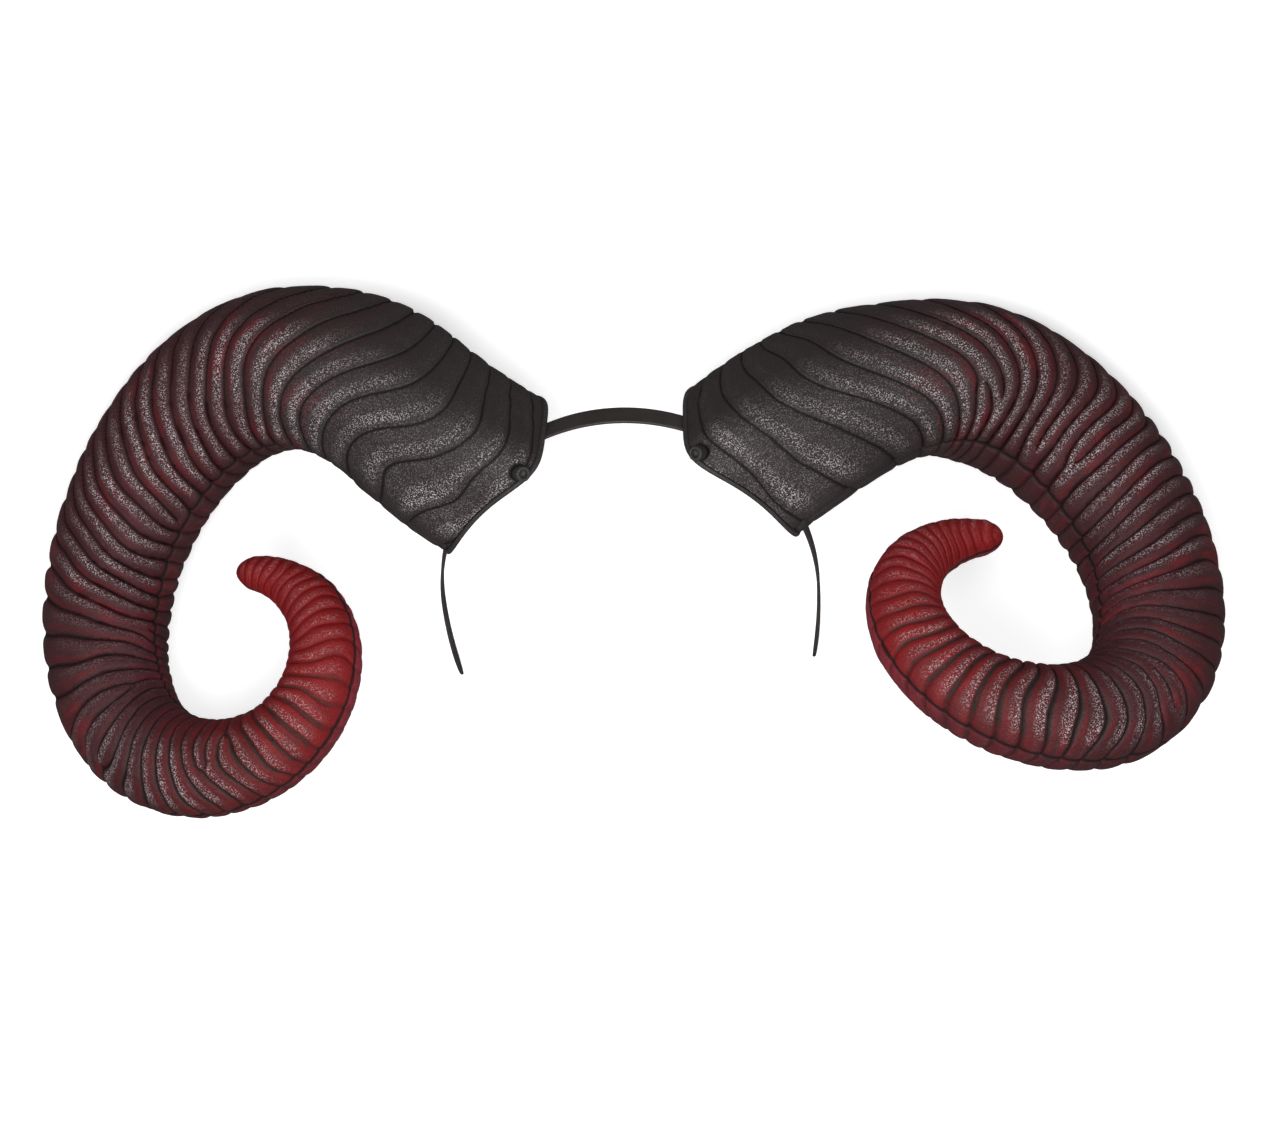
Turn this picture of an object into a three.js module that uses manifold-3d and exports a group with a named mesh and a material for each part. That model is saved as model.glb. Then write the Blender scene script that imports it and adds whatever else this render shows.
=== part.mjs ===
// Ram horns headband, lying on its back.
// Two curled foam horns stand on a thin arched band. Each horn is two hollow half shells, front and back,
// that meet along the inside and the outside of the curl. Its foot is closed by a foam plate with a sleeve
// that the band runs through. A small stud lies on the plate's front inner corner, in a notch of the shell.
// Lengths are in millimetres and angles in degrees. The headband is laid out as it is worn: X from ear to
// ear, Y to the back, Z up, with the middle of the arch at the origin. It is then laid down on its back.
import * as THREE from 'three';
import { mergeVertices } from 'three/addons/utils/BufferGeometryUtils.js';
import Module from 'manifold-3d';

const wasm = await Module();
wasm.setup();
const DEGREE = Math.PI / 180;

// Band: half an ellipse, with legs that go on below its widest level on a longer ellipse and narrow to
// their ends. BAND_END_TUCK is how much nearer to the middle an end lies than the widest place.
const BAND_HALF_SPREAD = 69;
const BAND_END_TUCK = 3;
const BAND_RISE = 84;
const BAND_LEG_DROP = 37;
const BAND_WIDTH = 8;
const BAND_END_WIDTH = 5;
const BAND_THICKNESS = 1.2;
const BAND_STEPS = 61;
const BAND_END_FLATNESS = 0.8;

// Horn: its length along the middle line, and its thickest section
const HORN_LENGTH = 425;
const HORN_WIDTH = 60;
const HORN_DEPTH = 58;
const SHELL_WALL = 3;
const TIP_ROUNDING = 7;
const TIP_BLUNTNESS = 0.03;
const WALL_SHARE = 0.6;
const RIB_COUNT = 50;
const RIB_HEIGHT = 1.3;
const RIB_NARROWING = 0.4;
const PATH_STEPS = 400;
const AROUND_STEPS = 8;
const INNER_STEPS = 25;

// Foot of a horn: the part of its length over which the square foot turns into the round horn
const FOOT_ALONG_BAND = 57;
const FOOT_DEPTH = 48;
const FOOT_SQUARENESS = 6;
const FOOT_BLEND = 100;

// Plate under a foot, the sleeve round the band, the stud on the corner, and the notch of the front shell
// that the stud lies in: NOTCH_RISE is the height of the notch up to where its round top starts
const PLATE_THICKNESS = 2;
const PLATE_LIP = 0.6;
const SLEEVE_WALL = 1.5;
const SLEEVE_LENGTH = 34;
const PLATE_CORNERS = 40;
const SHEET_STEPS = 26;
const SLEEVE_STEPS = 10;
const STUD_RADIUS = 2.7;
const STUD_LENGTH = 6;
const STUD_DIMPLE_RADIUS = 1.5;
const STUD_DIMPLE_DEPTH = 2;
const STUD_EDGE = 0.5;
const NOTCH_RISE = 4;

// Play between pieces that touch, under a foot's rim, and between the two halves of a horn
const FIT_GAP = 0.3;
const RIM_GAP = 0.5;
const SEAM_GAP = 0.4;

// Middle line and section of a horn, from foot to tip. along: share of the length. turn: heading in the
// plane of the curl. climb: heading out of that plane. width and depth: shares of the thickest section.
const HORN_SECTIONS = [
  { along: 0.00, turn: 0, climb: 58, width: 1.03, depth: 1.03 },
  { along: 0.05, turn: -9, climb: 24, width: 1.03, depth: 1.03 },
  { along: 0.10, turn: -9, climb: 6, width: 1.03, depth: 1.03 },
  { along: 0.18, turn: 20, climb: 8, width: 1.00, depth: 1.00 },
  { along: 0.30, turn: 67, climb: 0, width: 0.93, depth: 0.93 },
  { along: 0.42, turn: 100, climb: -1, width: 0.83, depth: 0.83 },
  { along: 0.54, turn: 133, climb: -1, width: 0.74, depth: 0.74 },
  { along: 0.66, turn: 183, climb: 2, width: 0.62, depth: 0.62 },
  { along: 0.78, turn: 239, climb: -2, width: 0.51, depth: 0.51 },
  { along: 0.90, turn: 323, climb: 3, width: 0.39, depth: 0.40 },
  { along: 1.00, turn: 396, climb: 22, width: 0.21, depth: 0.22 },
];

// The two horns. seat: how far from the crest the foot sits, as the slope of the band there. toe: the foot
// turned on its seat. spin, lean and swing: the curl turned about the foot's upright, about the band and
// about the front-to-back line, in that order. studFromTop and studFromFront: how far inside the foot's side
// nearest the crest and inside its front side the middle of the stud's outer end lies.
const HORNS = [
  {
    side: 'left', mirror: 1, seat: 48.5, toe: -4, spin: 54, lean: 44, swing: 44,
    studFromTop: 3.6, studFromFront: -1.9,
  },
  {
    side: 'right', mirror: -1, seat: 48.5, toe: 0, spin: 81, lean: 33, swing: 62,
    studFromTop: 0.3, studFromFront: 2.4,
  },
];

const COLORS = {
  band: { color: 0x3a3534, roughness: 0.5 },
  plate: { color: 0x2a2727, roughness: 0.8 },
  front: { color: 0x4b2f31, roughness: 0.45 },
  back: { color: 0x872f3a, roughness: 0.5 },
};

function material(name) {
  return new THREE.MeshStandardMaterial({ ...COLORS[name], metalness: 0 });
}

// Value of one column of a table at a place along it, on a smooth curve through the rows.
function readColumn(rows, column, along) {
  const last = rows.length - 1;
  let row = 0;
  while (row < last - 1 && along > rows[row + 1].along) row += 1;
  const slopeAt = (index) => {
    const before = rows[Math.max(index - 1, 0)];
    const after = rows[Math.min(index + 1, last)];
    return (after[column] - before[column]) / (after.along - before.along);
  };
  const step = rows[row + 1].along - rows[row].along;
  const t = (along - rows[row].along) / step;
  return (1 + 2 * t) * (1 - t) ** 2 * rows[row][column]
    + t * (1 - t) ** 2 * step * slopeAt(row)
    + t * t * (3 - 2 * t) * rows[row + 1][column]
    + t * t * (t - 1) * step * slopeAt(row + 1);
}

function smoothStep(t) {
  const clamped = Math.min(Math.max(t, 0), 1);
  return clamped * clamped * (3 - 2 * clamped);
}

// Closed mesh from a list of points and triangles, with its faces turned outwards.
function closedGeometry(points, triangles) {
  let sixVolumes = 0;
  for (const [a, b, c] of triangles) {
    sixVolumes += points[a].dot(new THREE.Vector3().crossVectors(points[b], points[c]));
  }
  const geometry = new THREE.BufferGeometry();
  const ordered = sixVolumes > 0 ? triangles : triangles.map(([a, b, c]) => [a, c, b]);
  geometry.setAttribute('position', new THREE.Float32BufferAttribute(points.flatMap((p) => p.toArray()), 3));
  geometry.setIndex(ordered.flat());
  geometry.computeVertexNormals();
  return geometry;
}

function toSolid(geometry) {
  const bare = geometry.clone();
  bare.deleteAttribute('normal');
  bare.deleteAttribute('uv');
  const merged = mergeVertices(bare, 1e-4);
  return new wasm.Manifold(new wasm.Mesh({
    numProp: 3,
    vertProperties: new Float32Array(merged.attributes.position.array),
    triVerts: new Uint32Array(merged.index.array),
  }));
}

function toGeometry(solid) {
  const mesh = solid.getMesh();
  const geometry = new THREE.BufferGeometry();
  geometry.setAttribute('position', new THREE.BufferAttribute(mesh.vertProperties, 3));
  geometry.setIndex(new THREE.BufferAttribute(mesh.triVerts, 1));
  geometry.computeVertexNormals();
  return geometry;
}

// Half height of the ellipse that the legs follow below the widest level, and the angle of their ends on it.
const BAND_END_HALF_SPREAD = BAND_HALF_SPREAD - BAND_END_TUCK;
const LEG_RISE = BAND_LEG_DROP / Math.sqrt(1 - (BAND_END_HALF_SPREAD / BAND_HALF_SPREAD) ** 2);
const BAND_END_ANGLE = Math.PI / 2 + Math.asin(BAND_LEG_DROP / LEG_RISE);

// Point of the arch on the left side, its outward direction and its downward direction. angle: 0 at the
// crest, 90 at the widest level, below 0 on the right side. lift: height above the middle of the strip.
function archAt(angle, lift = 0) {
  const rise = Math.cos(angle) < 0 ? LEG_RISE : BAND_RISE;
  const out = new THREE.Vector3(-Math.sin(angle) / BAND_HALF_SPREAD, 0, Math.cos(angle) / rise).normalize();
  const point = new THREE.Vector3(-BAND_HALF_SPREAD * Math.sin(angle), 0, rise * Math.cos(angle));
  return { point: point.addScaledVector(out, lift), out, down: new THREE.Vector3(-out.z, 0, out.x) };
}

// Angle of the arch that lies a given length of strip below another one.
function archAngleAfter(angle, length) {
  const steps = 40;
  let reached = angle;
  for (let step = 0; step < steps; step += 1) {
    const rise = Math.cos(reached) < 0 ? LEG_RISE : BAND_RISE;
    const speed = Math.hypot(BAND_HALF_SPREAD * Math.cos(reached), rise * Math.sin(reached));
    reached += length / steps / speed;
  }
  return reached;
}

// Solid strip that follows the arch between two angles, low and high being heights above the middle of
// the band, and halfWidth a function of the share of the way along it.
function archStrip(fromAngle, toAngle, steps, low, high, halfWidth) {
  const points = [];
  const triangles = [];
  for (let step = 0; step <= steps; step += 1) {
    const share = step / steps;
    const angle = fromAngle + (toAngle - fromAngle) * share;
    const half = halfWidth(share);
    for (const [lift, y] of [[low, -half], [low, half], [high, half], [high, -half]]) {
      const { point } = archAt(angle, lift);
      points.push(point.setY(y));
    }
  }
  for (let step = 0; step < steps; step += 1) {
    for (let corner = 0; corner < 4; corner += 1) {
      const here = step * 4 + corner;
      const next = step * 4 + (corner + 1) % 4;
      triangles.push([here, next, next + 4], [here, next + 4, here + 4]);
    }
  }
  const end = steps * 4;
  triangles.push([0, 2, 1], [0, 3, 2], [end, end + 1, end + 2], [end, end + 2, end + 3]);
  return closedGeometry(points, triangles);
}

// Band: the whole arch, tapering to its ends, which are rounded.
function makeBand() {
  const legLength = BAND_RISE + BAND_LEG_DROP;
  const halfWidth = (share) => {
    const towardsEnd = Math.abs(2 * share - 1);
    const half = (BAND_WIDTH + (BAND_END_WIDTH - BAND_WIDTH) * towardsEnd ** 2) / 2;
    const toEnd = (1 - towardsEnd) * legLength;
    const roundOff = Math.max(0, 1 - toEnd / (BAND_END_WIDTH / 2));
    return half * Math.sqrt(1 - BAND_END_FLATNESS * roundOff ** 2);
  };
  const face = BAND_THICKNESS / 2;
  const geometry = archStrip(-BAND_END_ANGLE, BAND_END_ANGLE, BAND_STEPS, -face, face, halfWidth);
  const band = new THREE.Mesh(geometry, material('band'));
  band.name = 'headband';
  return band;
}

// Frame of a foot on the left side of the band: out of the head, down along the band, and to the front.
function seatFrame(horn) {
  const slope = horn.seat * DEGREE;
  const angle = Math.atan(Math.tan(slope) * BAND_HALF_SPREAD / BAND_RISE);
  const { point, out, down } = archAt(angle);
  const front = new THREE.Vector3(0, -1, 0);
  return { angle, point, out, down, front };
}

// Point given by its height, its way down the band and its way to the front, measured from the seat.
function fromSeat(seat, height, alongBand, toFront) {
  return seat.point.clone()
    .addScaledVector(seat.out, height)
    .addScaledVector(seat.down, alongBand)
    .addScaledVector(seat.front, toFront);
}

// Angle of the arch where a sheet that follows it with a given lift is a way along the band from the seat.
function sheetAngle(seat, lift, alongBand) {
  const rounds = 12;
  let angle = seat.angle;
  for (let round = 0; round < rounds; round += 1) {
    const reached = archAt(angle, lift).point.sub(seat.point).dot(seat.down);
    angle = archAngleAfter(angle, alongBand - reached);
  }
  return angle;
}

// Height above the seat of such a sheet.
function sheetHeight(seat, lift, alongBand) {
  return archAt(sheetAngle(seat, lift, alongBand), lift).point.sub(seat.point).dot(seat.out);
}

// Outline of a foot: a square with round corners. around: 0 at the back corner nearest the crest, where the
// outside of the curl starts, and a quarter turn later at the front corner. inset: how far inside.
function footOutline(horn, around, inset) {
  const direction = 5 * Math.PI / 4 - around;
  const halfAlong = FOOT_ALONG_BAND / 2 - inset;
  const halfDepth = FOOT_DEPTH / 2 - inset;
  const across = Math.abs(Math.cos(direction) / halfAlong) ** FOOT_SQUARENESS;
  const deep = Math.abs(Math.sin(direction) / halfDepth) ** FOOT_SQUARENESS;
  const radius = (across + deep) ** (-1 / FOOT_SQUARENESS);
  const turned = direction + horn.toe * DEGREE;
  return { alongBand: radius * Math.cos(turned), toFront: radius * Math.sin(turned) };
}

// Direction from a foot's middle to its front inner corner.
function frontInnerDirection(horn) {
  return (Math.PI * 3) / 4 + horn.toe * DEGREE;
}

const PLATE_TOP = BAND_THICKNESS / 2 + PLATE_THICKNESS;

// Middle line of a horn: for each step of its length, the point, the heading, the way out of the curl
// and the way to the front of the curl, all measured from the seat.
function hornPath(horn) {
  const turned = new THREE.Euler(horn.spin * DEGREE, horn.lean * DEGREE, horn.swing * DEGREE, 'ZYX');
  const axis = new THREE.Vector3(0, 0, 1).applyEuler(turned);
  const headingAt = (along) => {
    const turn = readColumn(HORN_SECTIONS, 'turn', along) * DEGREE;
    const climb = readColumn(HORN_SECTIONS, 'climb', along) * DEGREE;
    const flat = Math.cos(climb);
    const heading = new THREE.Vector3(flat * Math.cos(turn), flat * Math.sin(turn), Math.sin(climb));
    return heading.applyEuler(turned);
  };
  const path = [];
  const point = new THREE.Vector3(PLATE_TOP + RIM_GAP, 0, 0);
  for (let step = 0; step <= PATH_STEPS; step += 1) {
    const along = step / PATH_STEPS;
    const heading = headingAt(along);
    const front = axis.clone().addScaledVector(heading, -axis.dot(heading)).normalize();
    const outside = new THREE.Vector3().crossVectors(heading, front);
    path.push({ along, point: point.clone(), heading, front, outside });
    point.addScaledVector(headingAt(along + 0.5 / PATH_STEPS), HORN_LENGTH / PATH_STEPS);
  }
  return path;
}

// Point on a horn's skin. around: 0 on the outside of the curl, a quarter turn later at its front.
// inset: how far under the skin, where the thin tip leaves room. apart: half the play between the halves.
function skinPoint(horn, seat, path, along, around, inset, apart) {
  const step = path[Math.round(along * (path.length - 1))];
  const toTip = (1 - along) * HORN_LENGTH;
  const tip = Math.sqrt(Math.max(1 - (1 - Math.min(toTip / TIP_ROUNDING, 1)) ** 2, TIP_BLUNTNESS));
  const halfWidth = readColumn(HORN_SECTIONS, 'width', along) * HORN_WIDTH / 2 * tip;
  const halfDepth = readColumn(HORN_SECTIONS, 'depth', along) * HORN_DEPTH / 2 * tip;
  const wall = Math.min(inset, halfWidth * WALL_SHARE, halfDepth * WALL_SHARE);
  const curl = step.point.clone()
    .addScaledVector(step.outside, (halfWidth - wall) * Math.cos(around))
    .addScaledVector(step.front, (halfDepth - wall) * Math.sin(around) + apart);
  const blend = smoothStep(along * HORN_LENGTH / FOOT_BLEND);
  if (blend < 1) {
    const outline = footOutline(horn, around, inset);
    const rim = PLATE_TOP + RIM_GAP;
    const sag = sheetHeight(seat, rim, outline.alongBand) - rim;
    const frontInner = frontInnerDirection(horn);
    const foot = step.point.clone().add(new THREE.Vector3(
      sag,
      outline.alongBand + apart * Math.cos(frontInner),
      outline.toFront + apart * Math.sin(frontInner),
    ));
    curl.lerpVectors(foot, curl, blend);
  }
  return fromSeat(seat, curl.x, curl.y, curl.z);
}

// Places of the rings along a horn: one in each groove between ribs and one on each rib's crest, with the
// ribs wide at the foot and narrow at the tip.
function ribRings() {
  const rings = [];
  for (let half = 0; half <= 2 * RIB_COUNT; half += 1) {
    const share = half / (2 * RIB_COUNT);
    rings.push({ along: share * (1 + RIB_NARROWING * (1 - share)), crest: half % 2 === 1 });
  }
  return rings;
}

// Triangles between two rows of points that run the same way, the second with its own number of points.
function zipRows(first, second, triangles) {
  let a = 0;
  let b = 0;
  while (a < first.length - 1 || b < second.length - 1) {
    const stepFirst = b === second.length - 1
      || (a < first.length - 1 && first[a + 1].along <= second[b + 1].along);
    if (stepFirst) {
      triangles.push([first[a].index, first[a + 1].index, second[b].index]);
      a += 1;
    } else {
      triangles.push([first[a].index, second[b + 1].index, second[b].index]);
      b += 1;
    }
  }
}

// Half shell of a horn. firstAround: 0 for the front half, half a turn for the back one.
function makeShell(horn, seat, path, half) {
  const firstAround = half === 'front' ? 0 : Math.PI;
  const apart = half === 'front' ? SEAM_GAP / 2 : -SEAM_GAP / 2;
  const points = [];
  const triangles = [];
  const addGrid = (rings, inset) => rings.map(({ along, lift }) => {
    const row = [];
    for (let step = 0; step <= AROUND_STEPS; step += 1) {
      const around = firstAround + Math.PI * step / AROUND_STEPS;
      row.push({ along, index: points.length });
      points.push(skinPoint(horn, seat, path, along, around, inset - lift, apart));
    }
    return row;
  });
  const relief = (along) => RIB_HEIGHT / 2 * readColumn(HORN_SECTIONS, 'width', along);
  const skin = ribRings().map(({ along, crest }) => {
    const lift = crest ? relief(along) : -relief(along);
    return { along, lift };
  });
  skin[0].lift = 0;
  const lining = [];
  for (let step = 0; step <= INNER_STEPS; step += 1) lining.push({ along: step / INNER_STEPS, lift: 0 });
  const outer = addGrid(skin, 0);
  const inner = addGrid(lining, SHELL_WALL);
  const addFaces = (grid, flip) => {
    for (let ring = 0; ring < grid.length - 1; ring += 1) {
      for (let step = 0; step < AROUND_STEPS; step += 1) {
        const [a, b] = [grid[ring][step].index, grid[ring][step + 1].index];
        const [c, d] = [grid[ring + 1][step + 1].index, grid[ring + 1][step].index];
        triangles.push(flip ? [a, b, c] : [a, c, b], flip ? [a, c, d] : [a, d, c]);
      }
    }
  };
  addFaces(outer, false);
  addFaces(inner, true);
  const columnOf = (grid, step) => grid.map((row) => row[step]);
  const firstEdge = [];
  zipRows(columnOf(outer, 0), columnOf(inner, 0), firstEdge);
  triangles.push(...firstEdge.map(([a, b, c]) => [a, c, b]));
  zipRows(columnOf(outer, AROUND_STEPS), columnOf(inner, AROUND_STEPS), triangles);
  const addEnd = (outerRow, innerRow, flip) => {
    for (let step = 0; step < AROUND_STEPS; step += 1) {
      const [a, b] = [outerRow[step].index, outerRow[step + 1].index];
      const [c, d] = [innerRow[step + 1].index, innerRow[step].index];
      triangles.push(flip ? [a, c, b] : [a, b, c], flip ? [a, d, c] : [a, c, d]);
    }
  };
  addEnd(outer[0], inner[0], false);
  addEnd(outer[outer.length - 1], inner[inner.length - 1], true);
  const closed = closedGeometry(points, triangles);
  const notched = half === 'front' ? toGeometry(toSolid(closed).subtract(studNotch(horn, seat))) : closed;
  const shell = new THREE.Mesh(notched, material(half));
  shell.name = `horn_${half}_${horn.side}`;
  return shell;
}

// Frame of the stud on a foot: the point of the plate's top under its outer end, the way out of the plate,
// the way along the stud to its outer end, and the way across both.
function studFrame(horn, seat) {
  const upTheBand = FOOT_ALONG_BAND / 2 - horn.studFromTop;
  const toFront = FOOT_DEPTH / 2 - horn.studFromFront;
  const { point, out, down } = archAt(sheetAngle(seat, PLATE_TOP, -upTheBand), PLATE_TOP);
  const direction = frontInnerDirection(horn);
  const axis = down.clone()
    .multiplyScalar(Math.cos(direction))
    .addScaledVector(seat.front, Math.sin(direction));
  const end = point.addScaledVector(seat.front, toFront);
  return { end, out, axis, across: new THREE.Vector3().crossVectors(out, axis) };
}

// Notch that the stud lies in: a slot with a round top, open below and to the outside.
function studNotch(horn, seat) {
  const { end, out, axis, across } = studFrame(horn, seat);
  const half = STUD_RADIUS + FIT_GAP;
  const shape = new THREE.Shape();
  shape.moveTo(-half, -PLATE_THICKNESS);
  shape.lineTo(half, -PLATE_THICKNESS);
  shape.lineTo(half, NOTCH_RISE);
  shape.absarc(0, NOTCH_RISE, half, 0, Math.PI);
  shape.closePath();
  const options = { depth: 2 * STUD_LENGTH, bevelEnabled: false, curveSegments: 8 };
  const geometry = new THREE.ExtrudeGeometry(shape, options);
  const place = new THREE.Matrix4().makeBasis(across, out, axis);
  place.setPosition(end.addScaledVector(axis, -STUD_LENGTH - FIT_GAP));
  return toSolid(geometry.applyMatrix4(place));
}

// Prism that stands on a seat, from a flat outline in the seat's own along-the-band and to-the-front axes.
function seatPrism(seat, shape, low, high) {
  const options = { depth: high - low, bevelEnabled: false, curveSegments: 16 };
  const geometry = new THREE.ExtrudeGeometry(shape, options);
  const place = new THREE.Matrix4().makeBasis(seat.down, seat.front, seat.out);
  place.setPosition(fromSeat(seat, low, 0, 0));
  return geometry.applyMatrix4(place);
}

// Plate that closes a foot, bent to the band, with the sleeve that the band runs through.
function makePlate(horn, seat) {
  const outline = [];
  for (let corner = 0; corner < PLATE_CORNERS; corner += 1) {
    const { alongBand, toFront } = footOutline(horn, 2 * Math.PI * corner / PLATE_CORNERS, -PLATE_LIP);
    outline.push(new THREE.Vector2(alongBand, toFront));
  }
  const reach = FOOT_ALONG_BAND;
  const sheetLength = 1.6 * reach;
  const prism = toSolid(seatPrism(seat, new THREE.Shape(outline), -reach, reach));
  const strip = (length, low, high, halfWidth, steps) => toSolid(archStrip(
    archAngleAfter(seat.angle, -length / 2),
    archAngleAfter(seat.angle, length / 2),
    steps,
    low,
    high,
    () => halfWidth,
  ));
  const bandFace = BAND_THICKNESS / 2;
  const sheet = strip(sheetLength, bandFace, PLATE_TOP, FOOT_DEPTH, SHEET_STEPS);
  const play = bandFace + FIT_GAP;
  const sleeveHalf = BAND_WIDTH / 2 + FIT_GAP + SLEEVE_WALL;
  const sleeveTop = PLATE_TOP - PLATE_THICKNESS / 2;
  const sleeve = strip(SLEEVE_LENGTH, -(play + SLEEVE_WALL), sleeveTop, sleeveHalf, SLEEVE_STEPS);
  const tunnel = strip(sheetLength, -play, play, BAND_WIDTH / 2 + FIT_GAP, SHEET_STEPS);
  const solid = sheet.intersect(prism).add(sleeve).subtract(tunnel);
  const plate = new THREE.Mesh(toGeometry(solid), material('plate'));
  plate.name = `base_plate_${horn.side}`;
  return plate;
}

// Stud on the plate's front inner corner: a short round peg with a rounded end and a dimple in it.
function makeStud(horn, seat) {
  const profile = [
    [0, -STUD_LENGTH],
    [STUD_RADIUS, -STUD_LENGTH],
    [STUD_RADIUS, -STUD_EDGE],
    [STUD_RADIUS - STUD_EDGE, 0],
    [STUD_DIMPLE_RADIUS, 0],
    [STUD_DIMPLE_RADIUS, -STUD_DIMPLE_DEPTH],
    [0, -STUD_DIMPLE_DEPTH],
  ].map(([radius, height]) => new THREE.Vector2(radius, height));
  const { end, out, axis, across } = studFrame(horn, seat);
  const geometry = new THREE.LatheGeometry(profile, 16);
  geometry.applyMatrix4(new THREE.Matrix4().makeBasis(out, axis, across));
  geometry.translate(...end.addScaledVector(out, FIT_GAP + STUD_RADIUS).toArray());
  const stud = new THREE.Mesh(geometry, material('plate'));
  stud.name = `corner_stud_${horn.side}`;
  return stud;
}

// Turns a mesh made for the left side into its mirror image.
function mirrorMesh(mesh) {
  const { geometry } = mesh;
  const { position } = geometry.attributes;
  const order = geometry.index.array;
  for (let index = 0; index < position.count; index += 1) position.setX(index, -position.getX(index));
  for (let start = 0; start < order.length; start += 3) {
    [order[start + 1], order[start + 2]] = [order[start + 2], order[start + 1]];
  }
  geometry.computeVertexNormals();
}

function makeHorn(horn) {
  const seat = seatFrame(horn);
  const path = hornPath(horn);
  const group = new THREE.Group();
  group.add(makeShell(horn, seat, path, 'front'));
  group.add(makeShell(horn, seat, path, 'back'));
  group.add(makePlate(horn, seat));
  group.add(makeStud(horn, seat));
  if (horn.mirror < 0) group.children.forEach(mirrorMesh);
  return group;
}

// Lowest point of a group's meshes in the world.
function lowestPoint(object) {
  const lowest = new THREE.Vector3(0, 0, Infinity);
  const point = new THREE.Vector3();
  object.updateWorldMatrix(true, true);
  object.traverse((child) => {
    if (!child.isMesh) return;
    const { position } = child.geometry.attributes;
    for (let index = 0; index < position.count; index += 1) {
      point.fromBufferAttribute(position, index).applyMatrix4(child.matrixWorld);
      if (point.z < lowest.z) lowest.copy(point);
    }
  });
  return lowest;
}

// Lays the whole thing on the floor, on the back of both horns and one end of the band: the plane through
// the lowest point of each is turned level, again and again until it no longer moves.
const START_PITCH = -62;
const LEVELLING_ROUNDS = 60;
function layOnItsBack(whole, horns, band) {
  whole.rotation.x = START_PITCH * DEGREE;
  for (let round = 0; round < LEVELLING_ROUNDS; round += 1) {
    const [a, b, c] = [...horns, band].map(lowestPoint);
    const level = b.clone().sub(a).cross(c.clone().sub(a)).normalize();
    if (level.z < 0) level.negate();
    const turn = new THREE.Quaternion().setFromUnitVectors(level, new THREE.Vector3(0, 0, 1));
    whole.quaternion.premultiply(turn);
  }
  whole.updateWorldMatrix(true, true);
  const box = new THREE.Box3().setFromObject(whole, true);
  const middle = box.getCenter(new THREE.Vector3());
  whole.position.set(-middle.x, -middle.y, -box.min.z);
}

const band = makeBand();
const horns = HORNS.map(makeHorn);
const headpiece = new THREE.Group();
headpiece.add(band, ...horns);
layOnItsBack(headpiece, horns, band);
const model = new THREE.Group();
model.add(headpiece);

export default model;
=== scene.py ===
import math

import bpy
import numpy as np
from mathutils import Matrix, Vector


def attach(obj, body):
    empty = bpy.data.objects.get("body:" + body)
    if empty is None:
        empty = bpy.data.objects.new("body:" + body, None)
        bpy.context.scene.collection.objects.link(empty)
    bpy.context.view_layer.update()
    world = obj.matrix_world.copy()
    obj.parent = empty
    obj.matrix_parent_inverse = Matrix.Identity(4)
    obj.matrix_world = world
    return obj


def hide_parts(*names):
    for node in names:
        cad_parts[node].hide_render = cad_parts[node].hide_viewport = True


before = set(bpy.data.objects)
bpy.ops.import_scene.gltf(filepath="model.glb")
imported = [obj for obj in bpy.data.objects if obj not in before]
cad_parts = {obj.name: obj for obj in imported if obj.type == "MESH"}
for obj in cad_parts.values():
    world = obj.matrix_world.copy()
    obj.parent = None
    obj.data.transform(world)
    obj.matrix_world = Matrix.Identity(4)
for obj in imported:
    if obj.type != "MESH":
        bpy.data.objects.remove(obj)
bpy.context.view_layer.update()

# Ram horns headband, lying on its back.
# The horns, the band, the plates and the studs are worked out here as fine surfaces that take the place of
# the plain solids. Lengths are in millimetres until a piece is made, and the headband is laid out as it is
# worn: X from ear to ear, Y to the back, Z up, with the middle of the arch at the origin.

MM = 0.001

# Band. Towards each end the square of its width goes down by the share BAND_END_TAPER, over the length
# BAND_END_ROUNDING.
BAND_HALF_SPREAD = 69
BAND_END_TUCK = 3
BAND_RISE = 84
BAND_LEG_DROP = 37
BAND_WIDTH = 8
BAND_END_WIDTH = 5
BAND_THICKNESS = 1.2
BAND_EDGE = 0.45
BAND_END_ROUNDING = 7
BAND_END_TAPER = 0.96

# Horns. The tip is rounded over the length TIP_ROUNDING, and the share TIP_BLUNTNESS of the square of its
# width is left at its end. WALL_SHARE is how much of a thin section's radius the wall may take.
HORN_LENGTH = 425
HORN_WIDTH = 60
HORN_DEPTH = 58
SHELL_WALL = 3
TIP_ROUNDING = 7
TIP_BLUNTNESS = 0.01
WALL_SHARE = 0.6

# Foot of a horn, its plate, sleeve and stud, and the notch that the stud lies in. The corners nearest the
# crest are directions from the foot's middle, turned from the way down the band to the way to the front.
# POLE_RADIUS is that of the small ring at the axis where the stud's profile starts and ends.
FOOT_ALONG_BAND = 57
FOOT_DEPTH = 48
FOOT_SQUARENESS = 4.5
FOOT_BLEND = 100
FRONT_CORNER = 3 * math.pi / 4
BACK_CORNER = 5 * math.pi / 4
PLATE_THICKNESS = 2
PLATE_LIP = 0.6
PLATE_EDGE = 0.7
SLEEVE_WALL = 1.5
SLEEVE_LENGTH = 34
SLEEVE_EDGE = 0.9
SLEEVE_HOLE_EDGE = 0.3
STUD_RADIUS = 2.7
STUD_LENGTH = 6
STUD_EDGE = 0.6
STUD_BACK_EDGE = 0.3
STUD_DIMPLE_RADIUS = 1.5
STUD_DIMPLE_DEPTH = 2
STUD_DIMPLE_FLOOR_RADIUS = 1.35
POLE_RADIUS = 0.02
NOTCH_RISE = 4
FIT_GAP = 0.3
RIM_GAP = 0.5
SEAM_GAP = 0.4
PLATE_TOP = BAND_THICKNESS / 2 + PLATE_THICKNESS

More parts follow.
